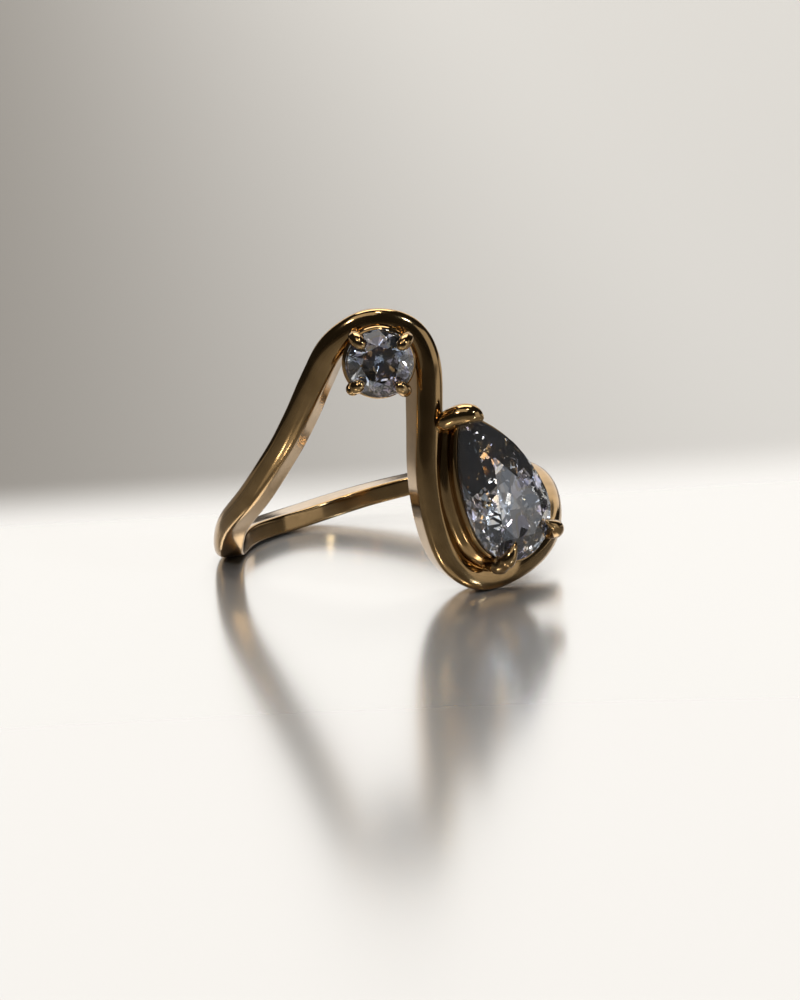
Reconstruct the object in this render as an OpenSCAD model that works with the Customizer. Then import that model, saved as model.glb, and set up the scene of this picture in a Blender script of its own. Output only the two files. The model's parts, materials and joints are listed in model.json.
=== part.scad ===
// Toi et moi ring: one wave-shaped band carries a round and a pear-shaped diamond.
// The ring lies on its side, as it rests by itself. Millimetres, +Z up, floor at z = 0.

/* [Finger hole and band] */
// Diameter of the finger hole
finger_d = 17; // [15:0.1:21]
// Width of the band at the front
front_w = 1.56; // [1.3:0.02:2]
// Height of the band's side walls at the front, out from the finger
front_wall = 2.05; // [1.7:0.05:2.4]
// Rise of the rounded outer face above the side walls
dome = 0.38; // [0.25:0.01:0.5]

/* [Wave] */
// Height of the arch round the small stone, from the hoop to the band's middle line
arch_rise = 13; // [11.5:0.1:14.5]
// Depth of the cradle under the large stone, from the hoop to the band's middle line
cradle_dip = 2.2; // [1.6:0.1:3]

/* [Round diamond] */
// Diameter of the round stone
round_d = 3.8; // [3.4:0.1:4.2]
// Distance of its girdle from the finger
round_seat = 3.05; // [2.8:0.05:3.6]
// Thickness of its four prongs
prong_d = 0.74; // [0.6:0.02:0.9]
// Thickness of the two rails of its basket
rail_d = 0.56; // [0.45:0.01:0.7]

/* [Pear diamond] */
// Length of the pear stone
pear_l = 9.1; // [8.4:0.1:9.8]
// Width of the pear stone
pear_w = 5.5; // [5:0.1:6]
// Distance of its girdle from the finger
pear_seat = 3.3; // [3.1:0.05:3.8]
// Lean of its tip towards the small stone, in degrees
pear_lean = 20; // [14:1:26]
// Height of the wall that holds it
basket_h = 1.75; // [1.4:0.05:2]
// Thickness of its claws
claw_d = 1.06; // [0.8:0.02:1.2]

/* [Fit and lie] */
// Gap between a stone and the metal that holds it
seat_gap = 0.04; // [0.02:0.01:0.08]
// Side of the ring that lifts when it lies down, as an angle round the finger
lift_side = 58; // [45:1:75]

/* [Hidden] */

gold = [0.83, 0.63, 0.33];
clear_stone = [0.86, 0.9, 0.93];

finger_r = finger_d / 2;
// Depth that the band's blank reaches into the finger hole before the hole is cut
blank_depth = 0.35;
band_steps = 4;
dome_sides = 7;

// The band's middle line, a row for each section, once round the finger.
// Angles start at the front and turn towards +X. Heights are shares of arch_rise
// above the hoop and of cradle_dip below it, width and wall are shares of front_w and
// front_wall, and lean is how far the outer face leans down for each mm of wall, or up
// where it is negative.
// angle, height, width, wall, lean
wave = [
  [-178, 0.007, 0.7, 0.92, 0],
  [-146, -0.24, 0.7, 0.92, 0],
  [-116, -0.21, 0.73, 0.7, 0],
  [-92, -0.18, 0.8, 0.64, 0],
  [-72, 0.114, 0.84, 0.62, 0],
  [-51.5, 0.268, 0.87, 0.67, 0],
  [-35.2, 0.458, 0.87, 0.78, 0],
  [-25, 0.62, 0.92, 0.85, -0.03],
  [-16.5, 0.789, 0.97, 0.89, -0.09],
  [-8.5, 0.929, 1, 0.95, -0.12],
  [3, 1, 1, 0.97, -0.14],
  [14.5, 0.955, 1, 0.97, -0.1],
  [19.5, 0.812, 1, 1, -0.04],
  [18, 0.573, 1, 1, 0],
  [15.8, 0.327, 1, 1, 0],
  [16.4, 0.112, 1, 1, 0.06],
  [20.5, -0.33, 1, 0.95, 0.12],
  [31, -0.87, 1, 0.89, 0.14],
  [50, -0.8, 0.97, 0.79, 0.1],
  [71, -0.5, 0.9, 0.68, 0.04],
  [94, 0.012, 0.84, 0.62, 0],
  [121, 0.082, 0.74, 0.72, 0],
  [151, 0.058, 0.7, 0.88, 0],
];

// Where the stones sit: angle round the finger, height as a share of arch_rise
round_at = [4.3, 0.854];
pear_at = [37.2, 0.116];
// Upward tilt of the pear's face, and turn of the four prongs about the round stone
pear_pitch = 5;
prong_turn = 36;
claw_turn = 44;

// Shares of a cut stone
table_share = 0.58;
star_share = 0.8;
crown_share = 0.15;
girdle_share = 0.03;
pavilion_share = 0.42;
lower_share = 0.24;
mains = 8;
cuts = 4;

function curve(a, b, c, d, t) =
  (2 * b + (c - a) * t + (2 * a - 5 * b + 4 * c - d) * t * t
   + (3 * b - a - 3 * c + d) * t * t * t) / 2;
function unit(v) = v / norm(v);
function out_dir(a) = [sin(a), -cos(a), 0];
function round_dir(a) = [cos(a), sin(a), 0];
function on_finger(a, r, z) = out_dir(a) * r + [0, 0, z];

// Rows of the wave as angle, height, width and wall height in millimetres
function level(share) = share * (share > 0 ? arch_rise : cradle_dip);
function wave_row(i) =
  let (n = len(wave), turn = floor(i / n), row = wave[i - turn * n])
  [row[0] + 360 * turn, level(row[1]), row[2] * front_w, row[3] * front_wall, row[4]];
function wave_at(u) =
  let (i = floor(u))
  curve(wave_row(i - 1), wave_row(i), wave_row(i + 1), wave_row(i + 2), u - i);

// One section of the band: side walls, and a rounded face between them
function section(w, wall) = concat(
  [[-w / 2, -blank_depth]],
  [for (k = [dome_sides:-1:0]) let (a = 180 * k / dome_sides)
    [w / 2 * sign(cos(a)) * pow(abs(cos(a)), 0.8), wall + dome * pow(sin(a), 0.8)]],
  [[w / 2, -blank_depth]]);

function band_ring(u) =
  let (row = wave_at(u), ahead = wave_at(u + 0.02), behind = wave_at(u - 0.02),
       run = (ahead[0] - behind[0]) * PI / 180 * (finger_r + front_wall / 2),
       rise = ahead[1] - behind[1], len_t = norm([run, rise]),
       side = (-rise * round_dir(row[0]) + [0, 0, run]) / len_t)
  [for (p = section(row[2], row[3]))
    on_finger(row[0], finger_r + p[1], row[1] - row[4] * p[1]) + side * p[0]];

band_rings = [for (i = [0:len(wave) * band_steps - 1]) band_ring(i / band_steps)];

// Joins rings of points into one closed skin; a loop joins its last ring to its first
function skin_faces(rings, sides, loop) = concat(
  [for (i = [0:rings - (loop ? 1 : 2)], k = [0:sides - 1])
    let (a = i * sides + k, b = i * sides + (k + 1) % sides,
         c = ((i + 1) % rings) * sides + k, d = ((i + 1) % rings) * sides + (k + 1) % sides)
    each [[a, b, c], [b, d, c]]],
  loop ? [] : [[for (k = [sides - 1:-1:0]) k],
               [for (k = [0:sides - 1]) (rings - 1) * sides + k]]);

module skin(rings, loop) {
  sides = len(rings[0]);
  polyhedron([for (ring = rings) each ring], skin_faces(len(rings), sides, loop), convexity = 8);
}

// A round wire through a few points, thinner where its radius shrinks, with a rounded end
function wire_point(path, u) =
  let (n = len(path) - 1, i = min(floor(u), n - 1))
  curve(path[max(i - 1, 0)], path[i], path[i + 1], path[min(i + 2, n)], u - i);
function wire_rings(path, sides, steps) =
  let (n = len(path) - 1)
  [for (j = [0:n * steps])
    let (u = j / steps, p = wire_point(path, u),
         q = wire_point(path, min(u + 0.05, n)), o = wire_point(path, max(u - 0.05, 0)),
         along = unit([q[0] - o[0], q[1] - o[1], q[2] - o[2]]),
         across = unit(cross(along, unit([0.37, 0.22, 0.9]))), up = cross(across, along))
    [for (k = [0:sides - 1]) let (a = 360 * k / sides)
      [p[0], p[1], p[2]] + p[3] * (cos(a) * across + sin(a) * up)]];

module wire(path, sides = 8, steps = 2) {
  rings = wire_rings(path, sides, steps);
  skin(rings, false);
}

// Outline of a stone seen from above. The pear's round end is centred on the origin.
function circle_point(d, t, grow) = (d / 2 + grow) * [cos(360 * t), sin(360 * t)];
pear_r = pear_w / 2;
pear_tip = pear_l - pear_r;
pear_side_r = (pear_tip * pear_tip + pear_r * pear_r) / pear_w;
pear_side_a = asin(pear_tip / pear_side_r);
pear_side_len = pear_side_r * pear_side_a * PI / 180;
pear_half_len = pear_side_len + pear_r * PI / 2;
function pear_half(s, grow) =
  s < pear_side_len
  ? let (a = pear_side_a * (1 - s / pear_side_len), r = pear_side_r + grow)
    [pear_r - pear_side_r + r * cos(a), r * sin(a)]
  : let (a = -(s - pear_side_len) / pear_r * 180 / PI, r = pear_r + grow)
    [r * cos(a), r * sin(a)];
// Share t runs from the tip round the left side to the bottom and back up the right
function pear_point(t, grow) =
  t > 0.5 ? pear_half(2 * (1 - t) * pear_half_len, grow)
  : let (p = pear_half(2 * t * pear_half_len, grow)) [-p[0], p[1]];

function outline(kind, grow) =
  [for (k = [0:mains * cuts - 1]) let (t = k / (mains * cuts))
    kind == "round" ? circle_point(round_d, t, grow) : pear_point(t, grow)];

// A brilliant cut: table, stars, crown mains, halves, girdle, lower halves and mains
module brilliant(edge, width, grow) {
  n = len(edge);
  half = cuts / 2;
  crown = crown_share * width;
  girdle = girdle_share * width;
  deep = pavilion_share * width;
  top = girdle / 2 + grow;
  star_z = crown * (1 - star_share * cos(180 / mains)) / (1 - table_share);
  low_z = deep * (1 - lower_share * cos(180 / mains));
  points = concat(
    [for (k = [0:mains - 1]) let (p = edge[k * cuts] * table_share) [p[0], p[1], top + crown]],
    [for (k = [0:mains - 1]) let (p = edge[k * cuts + half] * star_share)
      [p[0], p[1], top + star_z]],
    [for (p = edge) [p[0], p[1], top]],
    [for (p = edge) [p[0], p[1], -top]],
    [for (k = [0:mains - 1]) let (p = edge[k * cuts + half] * lower_share)
      [p[0], p[1], -top - low_z]],
    [[0, 0, -top - deep]]);
  star = mains;
  upper = 2 * mains;
  lower = upper + n;
  low = lower + n;
  culet = low + mains;
  faces = concat(
    [[for (k = [mains - 1:-1:0]) k]],
    [for (k = [0:mains - 1]) let (next = (k + 1) % mains, prev = (k + mains - 1) % mains)
      each [[k, next, star + k],
            [k, star + k, upper + k * cuts], [k, upper + k * cuts, star + prev],
            [culet, lower + k * cuts, low + k], [culet, low + prev, lower + k * cuts]]],
    [for (k = [0:mains - 1], j = [0:cuts - 1])
      let (a = k * cuts + j, b = (a + 1) % n)
      each [[star + k, upper + b, upper + a], [low + k, lower + a, lower + b]]],
    [for (a = [0:n - 1]) let (b = (a + 1) % n)
      each [[upper + a, upper + b, lower + b], [upper + a, lower + b, lower + a]]]);
  polyhedron(points, faces, convexity = 4);
}

// Frames of the two stones: x and y in the girdle plane, z out from the finger
function round_place() = on_finger(round_at[0], finger_r + round_seat, level(round_at[1]));
function pear_place() = on_finger(pear_at[0], finger_r + pear_seat, level(pear_at[1]));

module at_round() {
  translate(round_place()) rotate([0, 0, round_at[0]]) rotate([90, 0, 0]) children();
}

module at_pear() {
  translate(pear_place()) rotate([0, 0, pear_at[0]]) rotate([90 - pear_pitch, 0, 0])
    rotate([0, 0, pear_lean]) children();
}

// The ring tips towards the side away from lift_side until band and cradle both touch
lift_dir = out_dir(lift_side);
band_points = [for (ring = band_rings) each ring];
function lowest(tip, sgn) =
  min([for (p = band_points) if (sgn * (p * lift_dir) > 0)
    p[2] * cos(tip) + (p * lift_dir) * sin(tip)]);
function find_tip(a, b, n) =
  n == 0 ? (a + b) / 2
  : let (m = (a + b) / 2) lowest(m, 1) < lowest(m, -1) ? find_tip(m, b, n - 1) : find_tip(a, m, n - 1);
tip_angle = find_tip(-20, 30, 24);
floor_z = min(lowest(tip_angle, 1), lowest(tip_angle, -1));

function tipped(p) =
  let (h = p * lift_dir, z = p[2])
  p + lift_dir * (h * (cos(tip_angle) - 1) - z * sin(tip_angle))
    + [0, 0, z * (cos(tip_angle) - 1) + h * sin(tip_angle) - floor_z];

// Middle of the space that the ring takes up on the floor
front_reach = tipped(round_place() + out_dir(round_at[0]) * round_d * 0.25);
lying = [for (p = band_points) tipped(p)];
mid_x = (min([for (p = lying) p[0]]) + max([for (p = lying) p[0]])) / 2;
mid_y = (front_reach[1] + max([for (p = lying) p[1]])) / 2;

module lie_down() {
  axis = cross([0, 0, 1], lift_dir);
  translate([-mid_x, -mid_y, -floor_z]) rotate(a = -tip_angle, v = axis) children();
}

// Band: a wave blank, bored to the finger's size
module band() {
  skin(band_rings, true);
}

// Basket of the round stone: two rails, and four prongs bent over the crown.
// The radius is a share of the stone's, the depth below the girdle a share of round_d
rails = [[0.94, 0.13], [0.55, 0.42]];
// Radius as a share of the stone's, and past it as a share of prong_d; height over the
// girdle as a share of round_d; thickness as a share of prong_d
prong_path = [
  [0.5, 0, -0.474, 0.8], [0.85, 0, -0.237, 0.9], [1, 0.19, -0.026, 1.05],
  [1, 0.135, 0.092, 1.1], [1, -0.24, 0.174, 1.05], [1, -0.57, 0.195, 0.8],
  [1, -0.81, 0.195, 0.25],
];

module round_setting() {
  r = round_d / 2;
  for (rail = rails)
    translate([0, 0, -rail[1] * round_d]) rotate_extrude($fn = 24)
      translate([r * rail[0], 0]) circle(d = rail_d, $fn = 8);
  for (k = [0:3]) let (a = prong_turn + 90 * k)
    wire([for (p = prong_path) let (out = r * p[0] + p[1] * prong_d)
      [out * cos(a), out * sin(a), p[2] * round_d, p[3] * prong_d / 2]]);
}

// Basket of the pear: a wall with an upper rail at the girdle, a groove and a wider
// lower rail, open inside. Heights are shares of basket_h over the girdle.
// height, growth past the stone's outline as a share of pear_w
basket_wall = [
  [-1, 0.076], [-0.86, 0.091], [-0.72, 0.073], [-0.6, 0.026], [-0.52, 0.011],
  [-0.42, 0.027], [-0.24, 0.033], [-0.12, 0.031], [-0.05, 0.02],
];
// height, share of the stone's outline
basket_hollow = [[-1.1, 0.73], [-0.48, 0.79], [0, 0.88]];
// The wall has the stone's own corners, and the hollow's corners lie between them
basket_steps = mains * cuts;
function wall_ring(z, grow) =
  [for (k = [basket_steps:-1:0]) let (p = pear_point(k / basket_steps, grow)) [p[0], p[1], z]];
function hollow_ring(z, share) =
  [for (k = [basket_steps:-1:1])
    let (p = pear_point((k - 0.5) / basket_steps, 0) * share) [p[0], p[1], z]];

module pear_basket() {
  difference() {
    skin([for (row = basket_wall) wall_ring(row[0] * basket_h, row[1] * pear_w)], false);
    skin([for (row = basket_hollow) hollow_ring(row[0] * basket_h, row[1])], false);
  }
}

// Claws of the pear. Two stand at the round end; the hood comes from the band's side
// wall and covers the tip. Lengths in the girdle plane are shares of claw_d, heights
// over the girdle are shares of pear_w, thickness is a share of claw_d.
// past the girdle's edge, height, thickness
claw_path = [
  [-0.33, -0.29, 0.7], [0.19, -0.145, 1.0], [0.32, 0.0, 1.1], [0.17, 0.091, 1.0],
  [-0.226, 0.153, 0.72], [-0.66, 0.178, 0.36], [-0.943, 0.182, 0.1],
];
// across from the tip, past the tip, height, thickness
hood_path = [
  [-1.04, -0.094, -0.236, 0.95], [-0.774, 0.06, -0.12, 1.1], [-0.396, 0.15, -0.01, 1.2],
  [0.03, 0.04, 0.075, 1.2], [0.34, -0.26, 0.115, 0.95], [0.55, -0.66, 0.135, 0.25],
];
// Angles of the two round-end claws about the middle of the round end
claw_at = [-90 - claw_turn - 3, -90 + claw_turn - 5];

module pear_claws() {
  for (a = claw_at)
    wire([for (p = claw_path) let (out = pear_r + p[0] * claw_d)
      [out * cos(a), out * sin(a), p[1] * pear_w, p[2] * claw_d / 2]]);
  wire([for (p = hood_path)
    [p[0] * claw_d, pear_tip + p[1] * claw_d, p[2] * pear_w, p[3] * claw_d / 2]], steps = 3);
}

module round_stone(grow) {
  brilliant(outline("round", grow), round_d, grow);
}

module pear_stone(grow) {
  brilliant(outline("pear", grow), pear_w, grow);
}

// Band and both settings soldered into one skin of small faces, with the seats cut
module soldered() {
  resize([0, 0, 0]) difference() {
    union() {
      band();
      at_round() round_setting();
      at_pear() pear_basket();
      at_pear() pear_claws();
    }
    at_round() round_stone(seat_gap);
    at_pear() pear_stone(seat_gap);
  }
}

// The soldered metal, bored to the finger's size
module band_and_settings() {
  color(gold) lie_down() difference() {
    soldered();
    translate([0, 0, -arch_rise]) cylinder(r = finger_r, h = 3 * arch_rise, $fn = 96);
  }
}

module round_diamond() {
  color(clear_stone) lie_down() at_round() round_stone(0);
}

module pear_diamond() {
  color(clear_stone) lie_down() at_pear() pear_stone(0);
}

band_and_settings();
round_diamond();
pear_diamond();
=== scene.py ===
import json
import math

import bmesh
import bpy
from mathutils import Matrix, Vector


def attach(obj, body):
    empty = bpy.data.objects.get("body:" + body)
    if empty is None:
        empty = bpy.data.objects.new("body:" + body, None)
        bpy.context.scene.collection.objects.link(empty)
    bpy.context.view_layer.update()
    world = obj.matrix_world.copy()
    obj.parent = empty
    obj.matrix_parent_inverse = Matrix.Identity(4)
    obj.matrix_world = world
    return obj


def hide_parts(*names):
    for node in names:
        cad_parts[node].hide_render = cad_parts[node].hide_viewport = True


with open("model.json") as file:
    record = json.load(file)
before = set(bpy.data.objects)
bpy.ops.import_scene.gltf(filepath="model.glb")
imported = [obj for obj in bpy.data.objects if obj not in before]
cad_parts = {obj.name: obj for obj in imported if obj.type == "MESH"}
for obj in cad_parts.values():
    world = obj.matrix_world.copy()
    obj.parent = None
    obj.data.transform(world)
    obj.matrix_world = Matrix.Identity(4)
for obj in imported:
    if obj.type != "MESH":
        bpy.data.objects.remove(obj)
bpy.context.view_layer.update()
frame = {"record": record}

# Band: one cast wave of 18 ct yellow gold round the finger, filed to flat side walls and
# a rounded face, then polished. It rises in an arch round the small stone and dips in a
# cradle under the large one.
MM = 0.001
FINGER_R = 8.5
FRONT_WIDTH = 1.56
FRONT_WALL = 2.05
ARCH_RISE = 13.0
CRADLE_DIP = 2.2
CROWN_OUT = 0.38
SHOULDER_IN = 0.16
INNER_EDGE = 0.12
FACE_ROUNDING = 0.9
BAND_STEPS = 6
FACE_POINTS = 18
WELD = 1e-4
# angle round the finger, height of the middle line, width, wall, lean of the wall
WAVE = [
    (-178, 0.007, 0.70, 0.92, 0), (-146, -0.24, 0.70, 0.92, 0), (-116, -0.21, 0.73, 0.70, 0),
    (-92, -0.18, 0.80, 0.64, 0), (-72, 0.114, 0.84, 0.62, 0), (-51.5, 0.268, 0.87, 0.67, 0),
    (-35.2, 0.458, 0.87, 0.78, 0), (-25, 0.62, 0.92, 0.85, -0.03), (-16.5, 0.789, 0.97, 0.89, -0.09),
    (-8.5, 0.929, 1, 0.95, -0.12), (3, 1, 1, 0.97, -0.14), (14.5, 0.955, 1, 0.97, -0.10),
    (19.5, 0.812, 1, 1, -0.04), (18, 0.573, 1, 1, 0), (15.8, 0.327, 1, 1, 0),
    (16.4, 0.112, 1, 1, 0.06), (20.5, -0.33, 1, 0.95, 0.12), (31, -0.87, 1, 0.89, 0.14),
    (50, -0.80, 0.97, 0.79, 0.10), (71, -0.50, 0.90, 0.68, 0.04), (94, 0.012, 0.84, 0.62, 0),
    (121, 0.082, 0.74, 0.72, 0), (151, 0.058, 0.70, 0.88, 0),
]

hole = frame["record"]["mounts"][0]
finger_axis = Vector(hole["axis"])
HOLE_MIDDLE = 5.5095
in_frame = (
    Matrix.Translation(Vector(hole["pos_m"]) - finger_axis * HOLE_MIDDLE * MM)
    @ Vector((0, 0, 1)).rotation_difference(finger_axis).to_matrix().to_4x4()
    @ Matrix.Scale(MM, 4)
)


def curve(a, b, c, d, t):
    """Smooth curve through b and c, t from 0 to 1."""
    return (2 * b + (c - a) * t + (2 * a - 5 * b + 4 * c - d) * t * t + (3 * b - a - 3 * c + d) * t ** 3) / 2


def on_finger(angle, radius, height):
    a = math.radians(angle)
    return Vector((radius * math.sin(a), -radius * math.cos(a), height))


def loft(bm, rings, closed=False):
    """A skin through rings of points, drawn out ring by ring; a closed one meets its own start."""
    corner = bm.verts.layers.int.get("corner") or bm.verts.layers.int.new("corner")
    first = bmesh.ops.create_circle(bm, segments=len(rings[0]), radius=1)["verts"]
    for k, v in enumerate(first):
        v[corner] = k
        v.co = rings[0][k]
    start = edges = list(dict.fromkeys(e for v in first for e in v.link_edges))
    for ring in rings[1:] + ([rings[0]] if closed else []):
        grown = bmesh.ops.extrude_edge_only(bm, edges=edges)["geom"]
        edges = [g for g in grown if isinstance(g, bmesh.types.BMEdge) and g.is_boundary]
        for v in dict.fromkeys(v for e in edges for v in e.verts):
            v.co = ring[v[corner]]
    if not closed:
        for end in (start, edges):
            bmesh.ops.edgeloop_fill(bm, edges=end)


def make(name, bm, material, node, smooth=True, round_up=0):
    """Turns the work into a piece in the shared frame that stands in for a node."""
    bmesh.ops.remove_doubles(bm, verts=bm.verts, dist=WELD)
    bmesh.ops.recalc_face_normals(bm, faces=bm.faces)
    bmesh.ops.transform(bm, matrix=in_frame, verts=bm.verts)
    for f in bm.faces:
        f.smooth = smooth
    mesh = bpy.data.meshes.new(name)
    bm.to_mesh(mesh)
    bm.free()
    mesh.materials.append(material)
    piece = bpy.data.objects.new(name, mesh)
    bpy.context.scene.collection.objects.link(piece)
    if round_up:
        m = piece.modifiers.new("Rounded", "SUBSURF")
        m.levels = m.render_levels = round_up
    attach(piece, "root")
    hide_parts(node)


# place on the noise, tone of the metal there
GOLD_TONES = ((0.3, (0.35, 0.225, 0.10, 1)), (0.7, (0.46, 0.30, 0.14, 1)))


def gold(name, rough, scale):
    """Polished gold with a faint unevenness of tone and polish."""
    m = bpy.data.materials.new(name)
    m.use_nodes = True
    nt = m.node_tree
    bsdf = nt.nodes["Principled BSDF"]
    bsdf.inputs["Metallic"].default_value = 1.0
    where = nt.nodes.new("ShaderNodeTexCoord")
    noise = nt.nodes.new("ShaderNodeTexNoise")
    noise.inputs["Scale"].default_value = scale
    noise.inputs["Detail"].default_value = 3.0
    nt.links.new(where.outputs["Object"], noise.inputs["Vector"])
    tone = nt.nodes.new("ShaderNodeValToRGB")
    for element, (place, colour) in zip(tone.color_ramp.elements, GOLD_TONES):
        element.position = place
        element.color = colour
    nt.links.new(noise.outputs["Fac"], tone.inputs["Fac"])
    nt.links.new(tone.outputs["Color"], bsdf.inputs["Base Color"])
    polish = nt.nodes.new("ShaderNodeMapRange")
    polish.inputs["To Min"].default_value = rough * 0.8
    polish.inputs["To Max"].default_value = rough * 1.2
    nt.links.new(noise.outputs["Fac"], polish.inputs["Value"])
    nt.links.new(polish.outputs["Result"], bsdf.inputs["Roughness"])
    return m


def wave_row(i):
    turn, k = divmod(i, len(WAVE))
    angle, rise, w, wall, lean = WAVE[k]
    height = rise * (ARCH_RISE if rise > 0 else CRADLE_DIP)
    return (angle + 360 * turn, height, w * FRONT_WIDTH, wall * FRONT_WALL, lean)


def wave_at(u):
    i = math.floor(u)
    rows = [wave_row(i + k) for k in (-1, 0, 1, 2)]
    return [curve(*column, u - i) for column in zip(*rows)]


def band_section(w, wall):
    """Across and out from the finger: eased inner face, side walls, rounded outer face."""
    half, e = w / 2, INNER_EDGE
    side = [
        (half, wall * 0.5), (half, e * 1.8), (half, e * 0.9), (half - e * 0.3, e * 0.3), (half - e * 0.9, 0),
    ]
    face = []
    for k in range(FACE_POINTS + 1):
        a = math.radians(180 * k / FACE_POINTS)
        across = math.copysign(abs(math.cos(a)) ** FACE_ROUNDING, math.cos(a))
        out = (CROWN_OUT + SHOULDER_IN) * max(math.sin(a), 0) ** FACE_ROUNDING
        face.append((half * across, wall - SHOULDER_IN + out))
    left = [(-x, y) for x, y in side]
    return left + [(-half * 0.4, 0), (half * 0.4, 0)] + side[::-1] + face


def band_ring(u):
    angle, z, w, wall, lean = wave_at(u)
    ahead, behind = wave_at(u + 0.02), wave_at(u - 0.02)
    run = math.radians(ahead[0] - behind[0]) * (FINGER_R + FRONT_WALL / 2)
    rise = ahead[1] - behind[1]
    a = math.radians(angle)
    side = (Vector((math.cos(a), math.sin(a), 0)) * -rise + Vector((0, 0, run))) / math.hypot(run, rise)
    return [on_finger(angle, FINGER_R + y, z - lean * y) + side * x for x, y in band_section(w, wall)]


polished = gold("Polished_gold", rough=0.11, scale=900)
bm = bmesh.new()
loft(bm, [band_ring(k / BAND_STEPS) for k in range(len(WAVE) * BAND_STEPS)], closed=True)
make("Band", bm, polished, "band_and_settings", round_up=1)

# Basket of the round stone: two gold rings, the lower one smaller, that tie the four
# prongs together under the girdle. Drawn wire, bent, soldered and polished.
ROUND_D = 3.8
ROUND_SEAT = 3.05
ROUND_ANGLE = 4.3
ROUND_HEIGHT = 0.854
RAIL_D = 0.56
# radius as a share of the stone's, depth under the girdle as a share of its diameter
ROUND_RAILS = [(0.94, 0.13), (0.55, 0.42)]
at_round = (
    Matrix.Translation(on_finger(ROUND_ANGLE, FINGER_R + ROUND_SEAT, ROUND_HEIGHT * ARCH_RISE))
    @ Matrix.Rotation(math.radians(ROUND_ANGLE), 4, "Z")
    @ Matrix.Rotation(math.radians(90), 4, "X")
)
bm = bmesh.new()
for radius, depth in ROUND_RAILS:
    wire = bmesh.ops.create_circle(bm, segments=16, radius=RAIL_D / 2)["verts"]
    bmesh.ops.rotate(bm, verts=wire, cent=(0, 0, 0), matrix=Matrix.Rotation(math.radians(90), 3, "X"))
    bmesh.ops.translate(bm, verts=wire, vec=(radius * ROUND_D / 2, 0, -depth * ROUND_D))
    edges = list(dict.fromkeys(e for v in wire for e in v.link_edges))
    bmesh.ops.spin(
        bm, geom=wire + edges, cent=(0, 0, -depth * ROUND_D), axis=(0, 0, 1),
        angle=math.tau, steps=64, use_merge=True,
    )
bmesh.ops.transform(bm, matrix=at_round, verts=bm.verts)
make("Round_basket_rails", bm, polished, "band_and_settings")

# Prongs of the round stone: four round wires up from the basket, bent over the crown at
# the girdle and rounded to a pad.
PRONG_D = 0.74
PRONG_TURN = 36
WIRE_SIDES = 12
WIRE_STEPS = 3
# a direction that no wire runs along
AWAY = Vector((0.37, 0.22, 0.9)).normalized()
# radius as a share of the stone's, and past it of PRONG_D; height over the girdle as a
# share of ROUND_D; thickness as a share of PRONG_D
PRONG_PATH = [
    (0.5, 0, -0.474, 0.8), (0.85, 0, -0.237, 0.9), (1, 0.19, -0.026, 1.05), (1, 0.135, 0.092, 1.1),
    (1, -0.24, 0.174, 1.05), (1, -0.57, 0.195, 0.8), (1, -0.81, 0.195, 0.25),
]


def wire_rings(path):
    """Rings of a wire through points with a radius each."""
    n = len(path) - 1

    def at(u):
        i = min(int(u), n - 1)
        rows = [path[max(i - 1, 0)], path[i], path[i + 1], path[min(i + 2, n)]]
        return [curve(*column, u - i) for column in zip(*rows)]

    rings = []
    for j in range(n * WIRE_STEPS + 1):
        u = j / WIRE_STEPS
        x, y, z, r = at(u)
        along = (Vector(at(min(u + 0.05, n))[:3]) - Vector(at(max(u - 0.05, 0))[:3])).normalized()
        across = along.cross(AWAY).normalized()
        turns = [math.tau * k / WIRE_SIDES for k in range(WIRE_SIDES)]
        rings.append([
            Vector((x, y, z)) + r * (math.cos(t) * across + math.sin(t) * across.cross(along)) for t in turns
        ])
    return rings


bm = bmesh.new()
for k in range(4):
    a = math.radians(PRONG_TURN + 90 * k)
    path = []
    for share, past, height, thick in PRONG_PATH:
        out = share * ROUND_D / 2 + past * PRONG_D
        path.append((out * math.cos(a), out * math.sin(a), height * ROUND_D, thick * PRONG_D / 2))
    loft(bm, wire_rings(path))
bmesh.ops.transform(bm, matrix=at_round, verts=bm.verts)
make("Round_stone_prongs", bm, polished, "band_and_settings", round_up=1)

# Basket of the pear: a wall of gold that follows the stone's outline, with a rail under
# the girdle, a groove, and a wider lower rail soldered into the cradle. Open inside.
PEAR_L = 9.1
PEAR_W = 5.5
PEAR_SEAT = 3.3
PEAR_ANGLE = 37.2
PEAR_HEIGHT = 0.116
PEAR_PITCH = 5
PEAR_LEAN = 20
PEAR_AROUND = 120
PEAR_R = PEAR_W / 2
PEAR_TIP = PEAR_L - PEAR_R
PEAR_SIDE_R = (PEAR_TIP ** 2 + PEAR_R ** 2) / PEAR_W
PEAR_SIDE_A = math.asin(PEAR_TIP / PEAR_SIDE_R)
PEAR_SIDE = PEAR_SIDE_R * PEAR_SIDE_A
PEAR_HALF = PEAR_SIDE + PEAR_R * math.pi / 2
at_pear = (
    Matrix.Translation(on_finger(PEAR_ANGLE, FINGER_R + PEAR_SEAT, PEAR_HEIGHT * ARCH_RISE))
    @ Matrix.Rotation(math.radians(PEAR_ANGLE), 4, "Z")
    @ Matrix.Rotation(math.radians(90 - PEAR_PITCH), 4, "X")
    @ Matrix.Rotation(math.radians(PEAR_LEAN), 4, "Z")
)
# height over the girdle, growth past the stone's outline, share of the outline
PEAR_BASKET = [
    (-0.30, 0, 0.90), (-0.09, 0.06, 1), (-0.10, 0.13, 1), (-0.21, 0.17, 1), (-0.42, 0.18, 1),
    (-0.735, 0.15, 1), (-0.91, 0.06, 1), (-1.05, 0.14, 1), (-1.26, 0.40, 1), (-1.505, 0.50, 1),
    (-1.70, 0.44, 1), (-1.75, 0.34, 1), (-1.75, 0, 0.78), (-1.60, 0, 0.75), (-0.875, 0, 0.78),
]


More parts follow.
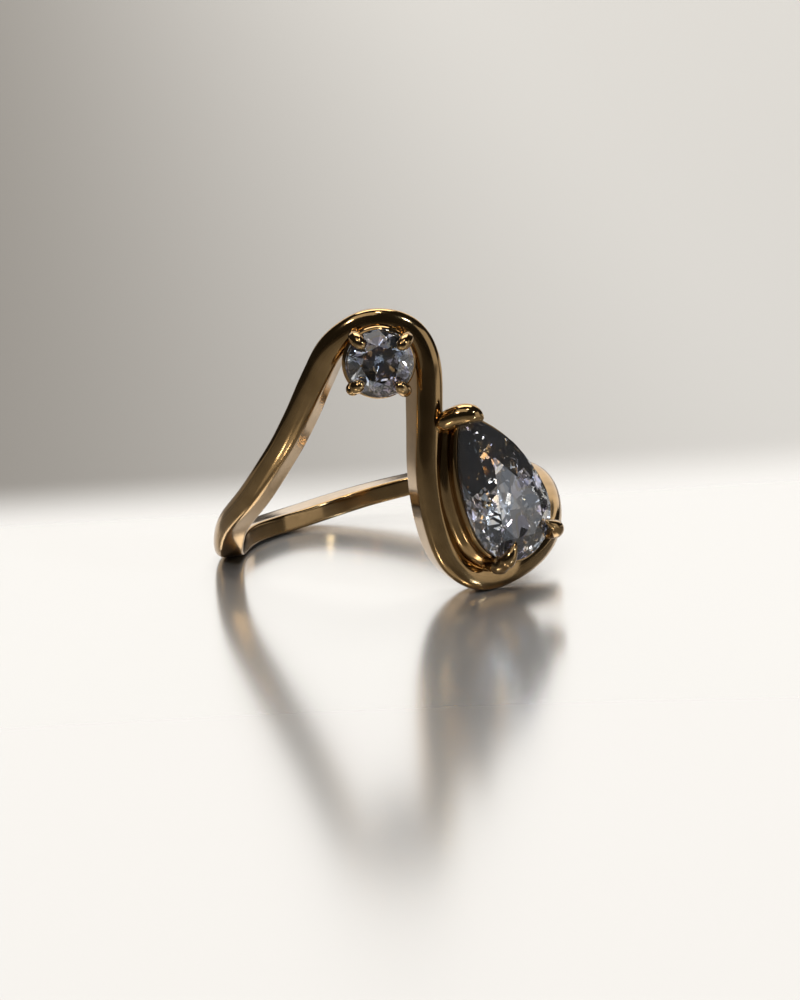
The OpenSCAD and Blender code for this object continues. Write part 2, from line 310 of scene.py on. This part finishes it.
def pear_point(t, grow):
    """Outline of the pear from its tip round the left side and back, t from 0 to 1."""
    s = 2 * min(t, 1 - t) * PEAR_HALF
    if s < PEAR_SIDE:
        a, r = PEAR_SIDE_A * (1 - s / PEAR_SIDE), PEAR_SIDE_R + grow
        x, y = PEAR_R - PEAR_SIDE_R + r * math.cos(a), r * math.sin(a)
    else:
        a, r = -(s - PEAR_SIDE) / PEAR_R, PEAR_R + grow
        x, y = r * math.cos(a), r * math.sin(a)
    return Vector((x if t > 0.5 else -x, y, 0))


bm = bmesh.new()
around = [(k + 0.5) / PEAR_AROUND for k in range(PEAR_AROUND)]
loft(bm, [
    [pear_point(t, grow) * share + Vector((0, 0, z)) for t in around] for z, grow, share in PEAR_BASKET
], closed=True)
bmesh.ops.transform(bm, matrix=at_pear, verts=bm.verts)
make("Pear_basket", bm, polished, "band_and_settings", round_up=1)

# Claws of the pear: two tapered claws bent over the round end, and a broad hood from
# the band's side wall that covers the tip. Cast, filed and polished.
CLAW_D = 1.06
CLAW_ANGLES = (-137, -51)
# past the girdle's edge as a share of CLAW_D, height over the girdle as a share of
# PEAR_W, thickness as a share of CLAW_D
CLAW_PATH = [
    (-0.33, -0.29, 0.7), (0.19, -0.145, 1.0), (0.32, 0.0, 1.1), (0.17, 0.091, 1.0),
    (-0.226, 0.153, 0.72), (-0.66, 0.178, 0.36), (-0.943, 0.182, 0.1),
]
# across from the tip, past the tip, height, thickness
HOOD_PATH = [
    (-1.04, -0.094, -0.236, 0.95), (-0.774, 0.06, -0.12, 1.1), (-0.396, 0.15, -0.01, 1.2),
    (0.03, 0.04, 0.075, 1.2), (0.34, -0.26, 0.115, 0.95), (0.55, -0.66, 0.135, 0.25),
]
bm = bmesh.new()
for turn in CLAW_ANGLES:
    a = math.radians(turn)
    path = []
    for past, height, thick in CLAW_PATH:
        out = PEAR_R + past * CLAW_D
        path.append((out * math.cos(a), out * math.sin(a), height * PEAR_W, thick * CLAW_D / 2))
    loft(bm, wire_rings(path))
loft(bm, wire_rings([
    (across * CLAW_D, PEAR_TIP + past * CLAW_D, height * PEAR_W, thick * CLAW_D / 2)
    for across, past, height, thick in HOOD_PATH
]))
bmesh.ops.transform(bm, matrix=at_pear, verts=bm.verts)
make("Pear_claws", bm, polished, "band_and_settings", round_up=1)

# Round diamond: a clear brilliant, cut and polished, held by the four prongs. It has a
# table, eight stars, eight kites and sixteen halves above the girdle, and eight mains and
# sixteen halves below it.
TABLE = 0.56
CROWN = 0.15
GIRDLE = 0.03
PAVILION = 0.42
STAR_ANGLE = math.radians(22)
UPPER_HALVES = 1.2
LOWER_HALVES = 1.05
IOR = 2.42
HAZE_COLOUR = (0.84, 0.82, 0.80, 1)


def cut_stone(outline, width):
    """A prism of the outline, cut by a plane for each facet."""
    bm = bmesh.new()
    deep, high, band = PAVILION * width, CROWN * width, GIRDLE * width / 2
    loft(bm, [[Vector((p.x, p.y, z)) for p in outline] for z in (-deep - band, high + band)])
    bmesh.ops.recalc_face_normals(bm, faces=bm.faces)

    def cut(through, out):
        """Takes off all that lies beyond a plane, and closes the stone with a facet there."""
        found = bmesh.ops.bisect_plane(
            bm, geom=bm.verts[:] + bm.edges[:] + bm.faces[:], dist=1e-6,
            plane_co=through, plane_no=out, clear_outer=True,
        )["geom_cut"]
        edges = [e for e in found if isinstance(e, bmesh.types.BMEdge)]
        if edges:
            bmesh.ops.edgeloop_fill(bm, edges=edges)

    def facing(a):
        return Vector((math.cos(a), math.sin(a), 0))

    def reach(a):
        return max(p.dot(facing(a)) for p in outline)

    def facet(a, run, drop, sign):
        """Cuts from the girdle's edge at angle a, falling by drop over run."""
        edge = facing(a) * reach(a) + Vector((0, 0, sign * band))
        cut(edge, (facing(a) * drop + Vector((0, 0, sign * run))).normalized())

    def kite_top(a):
        p = max(outline, key=lambda q: q.dot(facing(a)))
        return p * TABLE + Vector((0, 0, high + band))

    step = math.tau / 8
    for k in range(8):
        a = math.pi / 2 + step * k
        facet(a, reach(a), deep, -1)
        facet(a, reach(a) * (1 - TABLE), high, 1)
        for b in (a - step / 4, a + step / 4):
            facet(b, reach(b), deep * LOWER_HALVES, -1)
            facet(b, reach(b) * (1 - TABLE), high * UPPER_HALVES, 1)
        here, there = kite_top(a), kite_top(a + step)
        level = (there - here).cross(Vector((0, 0, 1))).normalized()
        cut(here, level * math.sin(STAR_ANGLE) + Vector((0, 0, math.cos(STAR_ANGLE))))
    cut(Vector((0, 0, high + band)), Vector((0, 0, 1)))
    return bm


# painted fire: place on the noise, and the faint tint of the stone from there on, standing in for the
# flashes of colour that dispersed light gives
PAINTED_FIRE = (
    (0.0, (0.86, 0.92, 1.0, 1)), (0.42, (1.0, 1.0, 1.0, 1)),
    (0.56, (1.0, 0.95, 0.87, 1)), (0.62, (0.93, 0.90, 1.0, 1)),
)


def diamond(name, scale, facets, tilt_by, veil):
    """Clear stone with painted fire, faint tints that stand in for the flashes of colour of dispersed light;
    small facets tilt the light by up to half of tilt_by.
    """
    m = bpy.data.materials.new(name)
    m.use_nodes = True
    nt = m.node_tree
    nt.nodes.remove(nt.nodes["Principled BSDF"])
    glass = nt.nodes.new("ShaderNodeBsdfGlass")
    glass.inputs["Roughness"].default_value = 0.0
    glass.inputs["IOR"].default_value = IOR
    where = nt.nodes.new("ShaderNodeTexCoord")
    cells = nt.nodes.new("ShaderNodeTexNoise")
    cells.inputs["Scale"].default_value = scale
    cells.inputs["Detail"].default_value = 0.0
    nt.links.new(where.outputs["Object"], cells.inputs["Vector"])
    # painted fire: patches of faint tint on the glass stand in for the coloured flashes of dispersed light
    painted_fire = nt.nodes.new("ShaderNodeValToRGB")
    painted_fire.color_ramp.interpolation = "CONSTANT"
    fire_tints = painted_fire.color_ramp.elements
    fire_tints.remove(fire_tints[1])
    fire_tints[0].color = PAINTED_FIRE[0][1]
    for place, tint in PAINTED_FIRE[1:]:
        fire_tints.new(place).color = tint
    nt.links.new(cells.outputs["Fac"], painted_fire.inputs["Fac"])
    nt.links.new(painted_fire.outputs["Color"], glass.inputs["Color"])
    small = nt.nodes.new("ShaderNodeTexVoronoi")
    small.inputs["Scale"].default_value = facets
    nt.links.new(where.outputs["Object"], small.inputs["Vector"])
    tilt = nt.nodes.new("ShaderNodeVectorMath")
    tilt.operation = "MULTIPLY_ADD"
    nt.links.new(small.outputs["Color"], tilt.inputs[0])
    tilt.inputs[1].default_value = (tilt_by,) * 3
    tilt.inputs[2].default_value = (-tilt_by / 2,) * 3
    face = nt.nodes.new("ShaderNodeNewGeometry")
    tilted = nt.nodes.new("ShaderNodeVectorMath")
    nt.links.new(face.outputs["Normal"], tilted.inputs[0])
    nt.links.new(tilt.outputs["Vector"], tilted.inputs[1])
    even = nt.nodes.new("ShaderNodeVectorMath")
    even.operation = "NORMALIZE"
    nt.links.new(tilted.outputs["Vector"], even.inputs[0])
    nt.links.new(even.outputs["Vector"], glass.inputs["Normal"])
    haze = nt.nodes.new("ShaderNodeBsdfDiffuse")
    haze.inputs["Color"].default_value = HAZE_COLOUR
    both = nt.nodes.new("ShaderNodeMixShader")
    both.inputs["Fac"].default_value = veil
    nt.links.new(glass.outputs[0], both.inputs[1])
    nt.links.new(haze.outputs[0], both.inputs[2])
    nt.links.new(both.outputs[0], nt.nodes["Material Output"].inputs["Surface"])
    return m


ROUND_AROUND = 64
bm = cut_stone([
    Vector((math.cos(math.tau * k / ROUND_AROUND), math.sin(math.tau * k / ROUND_AROUND), 0)) * ROUND_D / 2
    for k in range(ROUND_AROUND)
], ROUND_D)
bmesh.ops.transform(bm, matrix=at_round, verts=bm.verts)
clear = diamond("Round_stone", scale=900, facets=900, tilt_by=0.05, veil=0.0)
make("Round_diamond", bm, clear, "round_diamond", smooth=False)

# Pear diamond: the same cut stretched to a drop, its point towards the arch. Clear,
# polished, and held over its basket by the hood and the two claws.
PEAR_EDGE = 80
bm = cut_stone([pear_point((k + 0.5) / PEAR_EDGE, 0) for k in reversed(range(PEAR_EDGE))], PEAR_W)
bmesh.ops.transform(bm, matrix=at_pear, verts=bm.verts)
clear = diamond("Pear_stone", scale=700, facets=950, tilt_by=0.17, veil=0.03)
make("Pear_diamond", bm, clear, "pear_diamond", smooth=False)

# Stage: a pale glossy slab under the ring. Its far edge fades softly into a matt grey ground with painted
# light, lighter on the right, and its near edge into a dark ground of painted shade that stands in for the
# unlit room in front of the ring.
FLOOR_HALF = 0.8
# place of the slab's edge, softness of the edge
FAR_EDGE = (0.0185, 0.007)
NEAR_EDGE = (-0.092, 0.010)
EDGE_TURN = math.radians(-5)
SLAB_COLOUR = (0.72, 0.71, 0.69, 1)
SLAB_METALLIC = 0.65
SLAB_ROUGH = 0.18
# painted shade: the dark ground in front of the slab stands in for the unlit room that the gold's front
# faces reflect
FRONT_SHADE_COLOUR = (0.05, 0.045, 0.04, 1)
# painted light on the ground: its colour from the darker left side to the lighter right side
GROUND_PAINTED_LIGHT = ((0.33, 0.31, 0.285, 1), (0.78, 0.765, 0.735, 1))
GROUND_WIDTH = 0.034

pale = bpy.data.materials.new("Pale_floor")
pale.use_nodes = True
nt = pale.node_tree
slab = nt.nodes["Principled BSDF"]
slab.inputs["Base Color"].default_value = SLAB_COLOUR
slab.inputs["Metallic"].default_value = SLAB_METALLIC
slab.inputs["Roughness"].default_value = SLAB_ROUGH
where = nt.nodes.new("ShaderNodeTexCoord")
turned = nt.nodes.new("ShaderNodeMapping")
turned.inputs["Rotation"].default_value = (0, 0, EDGE_TURN)
nt.links.new(where.outputs["Object"], turned.inputs["Vector"])
depth = nt.nodes.new("ShaderNodeSeparateXYZ")
nt.links.new(turned.outputs["Vector"], depth.inputs["Vector"])
across = nt.nodes.new("ShaderNodeMapRange")
across.inputs["From Min"].default_value = -GROUND_WIDTH
across.inputs["From Max"].default_value = GROUND_WIDTH
nt.links.new(depth.outputs["X"], across.inputs["Value"])
# painted light: the far ground is darker on its left and lighter on its right
painted_light_ramp = nt.nodes.new("ShaderNodeValToRGB")
painted_light_ramp.color_ramp.interpolation = "EASE"
for element, tone in zip(painted_light_ramp.color_ramp.elements, GROUND_PAINTED_LIGHT):
    element.color = tone
nt.links.new(across.outputs["Result"], painted_light_ramp.inputs["Fac"])
far = nt.nodes.new("ShaderNodeBsdfDiffuse")
nt.links.new(painted_light_ramp.outputs["Color"], far.inputs["Color"])
# painted shade in front of the slab, a dark matt ground
near_shade = nt.nodes.new("ShaderNodeBsdfDiffuse")
near_shade.inputs["Color"].default_value = FRONT_SHADE_COLOUR
last = slab
for matt, (edge, soft), sign in ((far, FAR_EDGE, 1), (near_shade, NEAR_EDGE, -1)):
    fade = nt.nodes.new("ShaderNodeMapRange")
    fade.interpolation_type = "SMOOTHSTEP"
    fade.inputs["From Min"].default_value = edge - soft * sign
    fade.inputs["From Max"].default_value = edge + soft * sign
    nt.links.new(depth.outputs["Y"], fade.inputs["Value"])
    both = nt.nodes.new("ShaderNodeMixShader")
    nt.links.new(fade.outputs["Result"], both.inputs["Fac"])
    nt.links.new(last.outputs[0], both.inputs[1])
    nt.links.new(matt.outputs[0], both.inputs[2])
    last = both
nt.links.new(last.outputs[0], nt.nodes["Material Output"].inputs["Surface"])

bm = bmesh.new()
bmesh.ops.create_grid(bm, x_segments=1, y_segments=1, size=FLOOR_HALF)
mesh = bpy.data.meshes.new("Floor")
bm.to_mesh(mesh)
bm.free()
mesh.materials.append(pale)
floor = bpy.data.objects.new("Floor", mesh)
bpy.context.scene.collection.objects.link(floor)

# Light: soft boxes behind and high up for the slab and the ground, weaker ones in front
# and at the right, three small lamps for the stones' sparkle, and a dim room.
ROOM_COLOUR = (0.5, 0.47, 0.44, 1)
ROOM_STRENGTH = 0.05
world = bpy.data.worlds.new("Dim_room")
world.use_nodes = True
world.node_tree.nodes["Background"].inputs["Color"].default_value = ROOM_COLOUR
world.node_tree.nodes["Background"].inputs["Strength"].default_value = ROOM_STRENGTH
bpy.context.scene.world = world
# place, size, power in watts, colour
LAMPS = {
    "Back_soft_box": ((0.0, 0.60, 0.30), (1.0, 0.5), 2.1, (1.0, 0.98, 0.95)),
    "High_soft_box": ((0.0, 0.25, 0.60), (0.5, 0.3), 2.2, (1.0, 0.98, 0.95)),
    "Front_soft_box": ((-0.12, -0.34, 0.50), (0.50, 0.30), 0.40, (1.0, 0.98, 0.95)),
    "Side_soft_box": ((0.42, -0.14, 0.06), (0.30, 0.24), 0.16, (0.98, 0.98, 1.0)),
    "Left_lamp": ((-0.22, -0.30, 0.30), (0.05, 0.05), 0.30, (1.0, 0.96, 0.90)),
    "Right_lamp": ((0.26, -0.22, 0.20), (0.04, 0.04), 0.22, (0.72, 0.84, 1.0)),
    "Upper_lamp": ((0.08, -0.20, 0.42), (0.04, 0.04), 0.22, (1.0, 0.92, 0.82)),
}
for name, (place, size, power, tint) in LAMPS.items():
    lamp = bpy.data.lights.new(name, "AREA")
    lamp.shape = "RECTANGLE"
    lamp.size, lamp.size_y = size
    lamp.energy = power
    lamp.color = tint
    o = bpy.data.objects.new(name, lamp)
    o.location = place
    o.rotation_euler = (-Vector(place)).to_track_quat("-Z", "Y").to_euler()
    bpy.context.scene.collection.objects.link(o)
bpy.context.scene.view_settings.view_transform = "Standard"

# Camera: fitted to the photo's edges, just above the ring and almost square to its front.
ELEVATION = math.radians(13.84)
ROLL = math.radians(-2.29)
DISTANCE = 0.290
SENSOR = 36
LENS = 179.8
# the ring's middle in the picture, and the picture's size, in pixels
TARGET = (387.23, 521.41)
PICTURE = (800, 1000)
forward = Vector((0, math.cos(ELEVATION), -math.sin(ELEVATION)))
right = Vector((1, 0, 0))
up = right.cross(forward)
c, s = math.cos(ROLL), math.sin(ROLL)
turn = Matrix((right * c + up * s, up * c - right * s, -forward)).transposed().to_4x4()
data = bpy.data.cameras.new("Camera")
data.sensor_fit = "VERTICAL"
data.sensor_height = SENSOR
data.lens = LENS
data.shift_x = (PICTURE[0] / 2 - TARGET[0]) / PICTURE[1]
data.shift_y = (TARGET[1] - PICTURE[1] / 2) / PICTURE[1]
data.clip_start = 0.01
camera = bpy.data.objects.new("Camera", data)
camera.matrix_world = Matrix.Translation(in_frame.translation - forward * DISTANCE) @ turn
bpy.context.scene.collection.objects.link(camera)
bpy.context.scene.camera = camera
